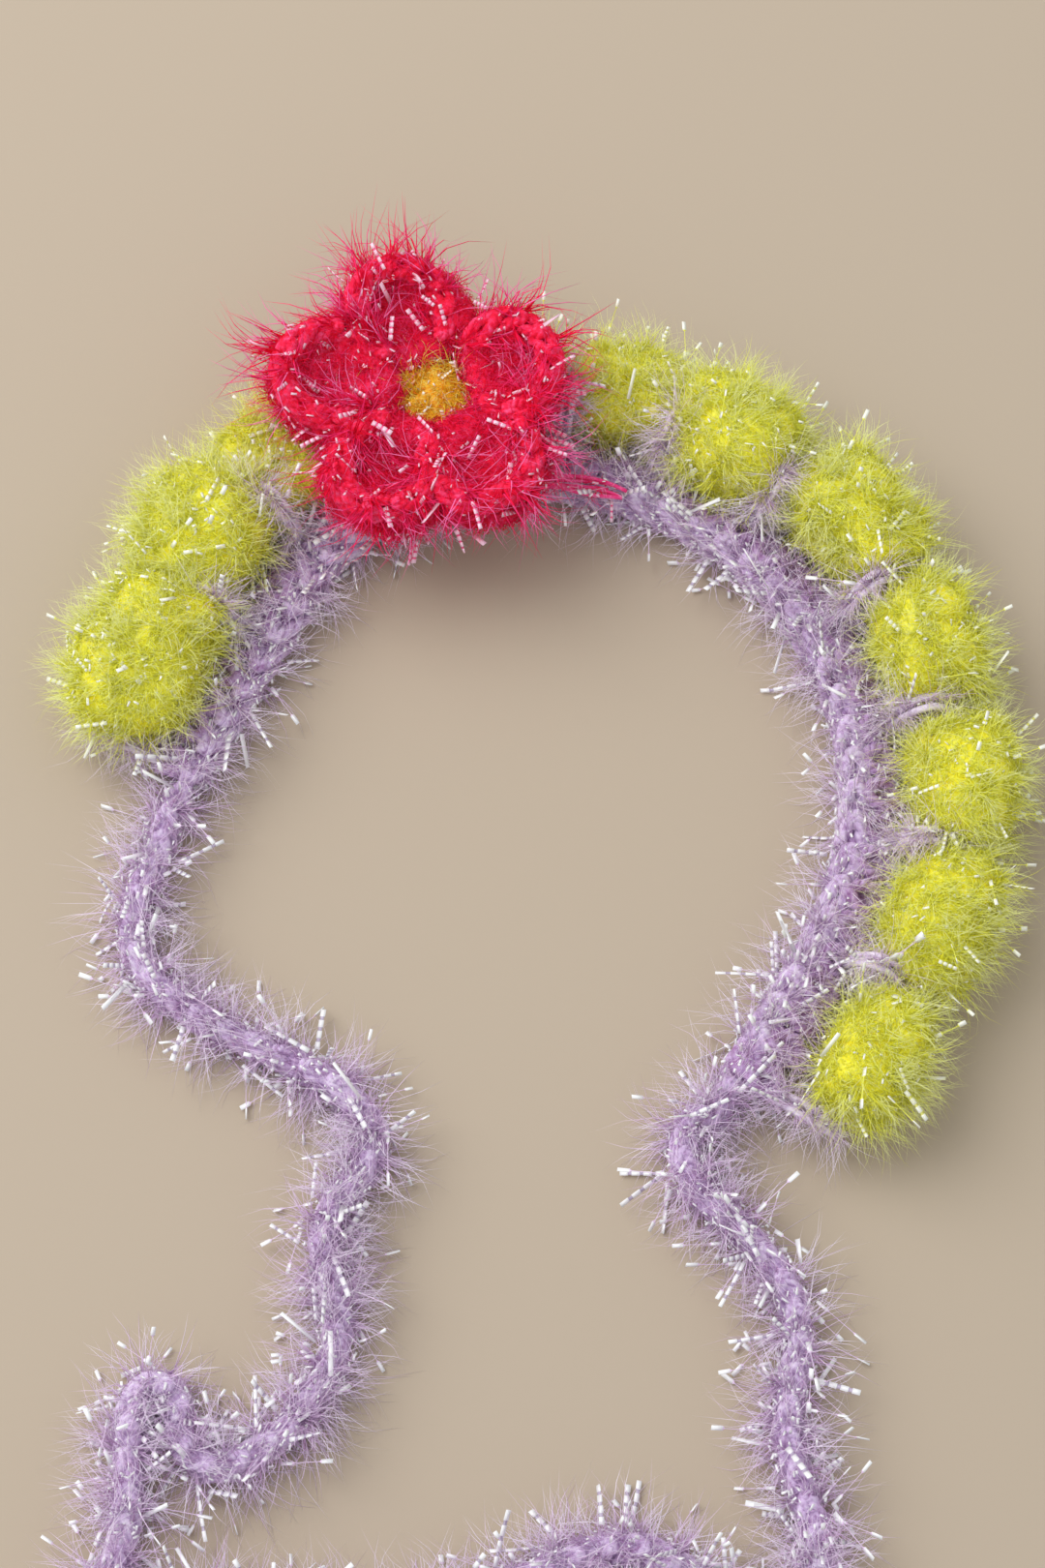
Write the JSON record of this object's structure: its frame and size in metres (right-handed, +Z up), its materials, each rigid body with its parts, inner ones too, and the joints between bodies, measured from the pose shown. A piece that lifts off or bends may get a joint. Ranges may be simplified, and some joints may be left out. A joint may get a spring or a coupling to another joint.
{
  "type": "doll headband",
  "caption": "Crocheted tie-on doll headband in fuzzy tinsel yarn: lilac chain arch with a row of yellow bobbles, a pink flower with a golden centre, and long chain ties.",
  "frame": {"origin": "under the middle of the headband without its ties, on the surface that it lies on", "axes": "+Z up from the surface that the headband lies flat on, +X to the right across the arch, +Y from the ties towards the crown"},
  "size_m": [0.1076, 0.1614, 0.0152],
  "materials": {
    "lilac_yarn": "fuzzy lilac eyelash yarn with silver tinsel",
    "yellow_yarn": "fuzzy lemon yellow eyelash yarn with pale tinsel",
    "pink_yarn": "fuzzy hot pink eyelash yarn with pink tinsel",
    "golden_yarn": "fuzzy golden yellow eyelash yarn with tinsel"
  },
  "bodies": {
    "root": {"band": "lilac_yarn", "parting_stitch_01": "lilac_yarn", "parting_stitch_02": "lilac_yarn", "parting_stitch_03": "lilac_yarn", "parting_stitch_04": "lilac_yarn", "parting_stitch_05": "lilac_yarn", "parting_stitch_06": "lilac_yarn", "parting_stitch_07": "lilac_yarn", "parting_stitch_08": "lilac_yarn", "parting_stitch_09": "lilac_yarn", "parting_stitch_10": "lilac_yarn", "parting_stitch_11": "lilac_yarn", "parting_stitch_12": "lilac_yarn", "parting_stitch_13": "lilac_yarn", "left_tie": "lilac_yarn", "right_tie": "lilac_yarn", "left_tie_knot": "lilac_yarn", "right_tie_knot": "lilac_yarn", "bobble_01": "yellow_yarn", "bobble_02": "yellow_yarn", "bobble_03": "yellow_yarn", "bobble_04": "yellow_yarn", "bobble_05": "yellow_yarn", "bobble_06": "yellow_yarn", "bobble_07": "yellow_yarn", "bobble_08": "yellow_yarn", "bobble_09": "yellow_yarn", "bobble_10": "yellow_yarn", "bobble_11": "yellow_yarn", "bobble_12": "yellow_yarn", "petal_01": "pink_yarn", "petal_02": "pink_yarn", "petal_03": "pink_yarn", "petal_04": "pink_yarn", "petal_05": "pink_yarn", "sewing_stitch_01": "pink_yarn", "sewing_stitch_02": "pink_yarn", "sewing_tail": "pink_yarn", "flower_centre": "golden_yarn"}
  },
  "joints": []
}
